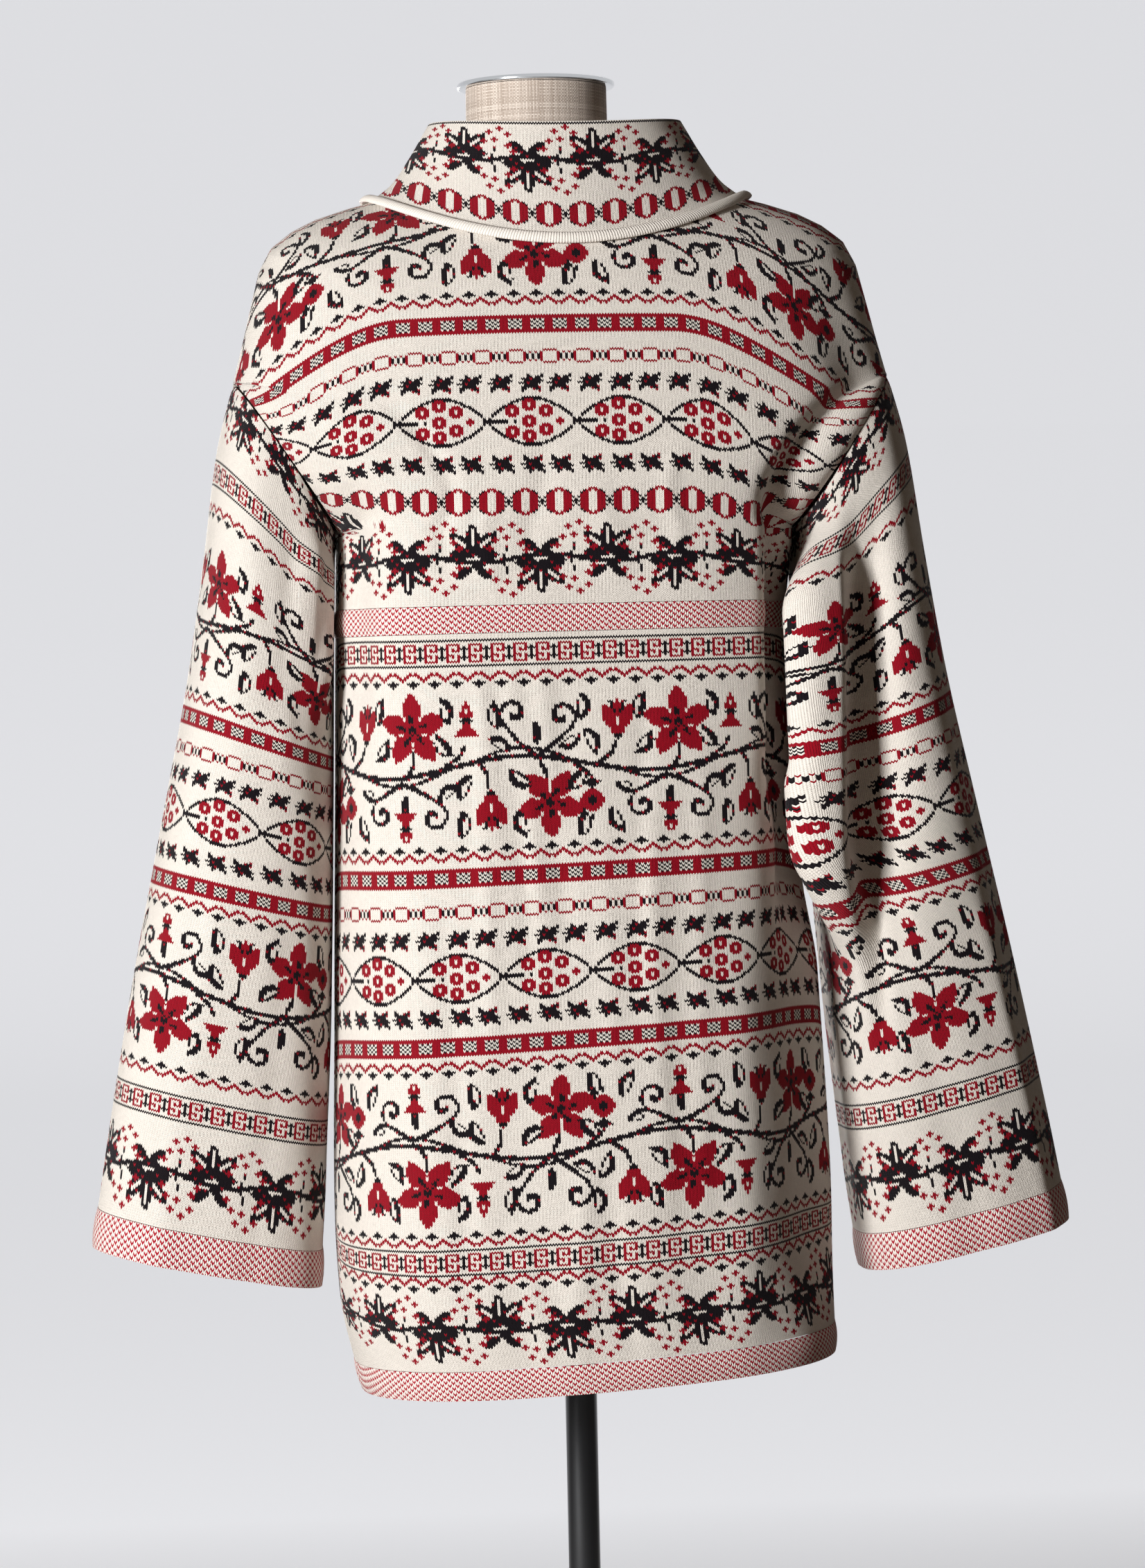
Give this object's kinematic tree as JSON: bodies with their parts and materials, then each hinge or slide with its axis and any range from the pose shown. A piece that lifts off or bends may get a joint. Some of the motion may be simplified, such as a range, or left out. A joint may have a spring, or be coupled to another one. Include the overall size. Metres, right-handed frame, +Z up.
{
  "type": "cardigan on dress form",
  "caption": "Long wide-sleeved knitted cardigan with a funnel collar and banded edges, standing on a limbless dress form with a round base.",
  "frame": {"origin": "centre of the base's flat underside", "axes": "+Z up, the front faces -Y, the wearer's left side is +X"},
  "size_m": [0.7086, 0.38, 1.45],
  "materials": {
    "cream_knit": "matte knitted wool with crimson and black pattern",
    "birdseye_knit": "matte two-colour birdseye knit",
    "linen": "matte woven linen",
    "chrome": "polished",
    "gloss_black": "glossy black"
  },
  "bodies": {
    "root": {"back_upper": "cream_knit", "back_lower": "cream_knit", "front_upper_left": "cream_knit", "front_upper_right": "cream_knit", "front_lower_left": "cream_knit", "front_lower_right": "cream_knit", "sleeve_left": "cream_knit", "sleeve_right": "cream_knit", "collar": "cream_knit", "collar_welt": "cream_knit", "waist_welt_back": "birdseye_knit", "waist_welt_left": "birdseye_knit", "waist_welt_right": "birdseye_knit", "hem_band_back": "birdseye_knit", "hem_band_left": "birdseye_knit", "hem_band_right": "birdseye_knit", "front_band_left": "birdseye_knit", "front_band_right": "birdseye_knit", "cuff_band_left": "birdseye_knit", "cuff_band_right": "birdseye_knit", "form_torso": "linen", "neck_cap": "chrome", "pole": "gloss_black", "base": "gloss_black"}
  },
  "joints": []
}
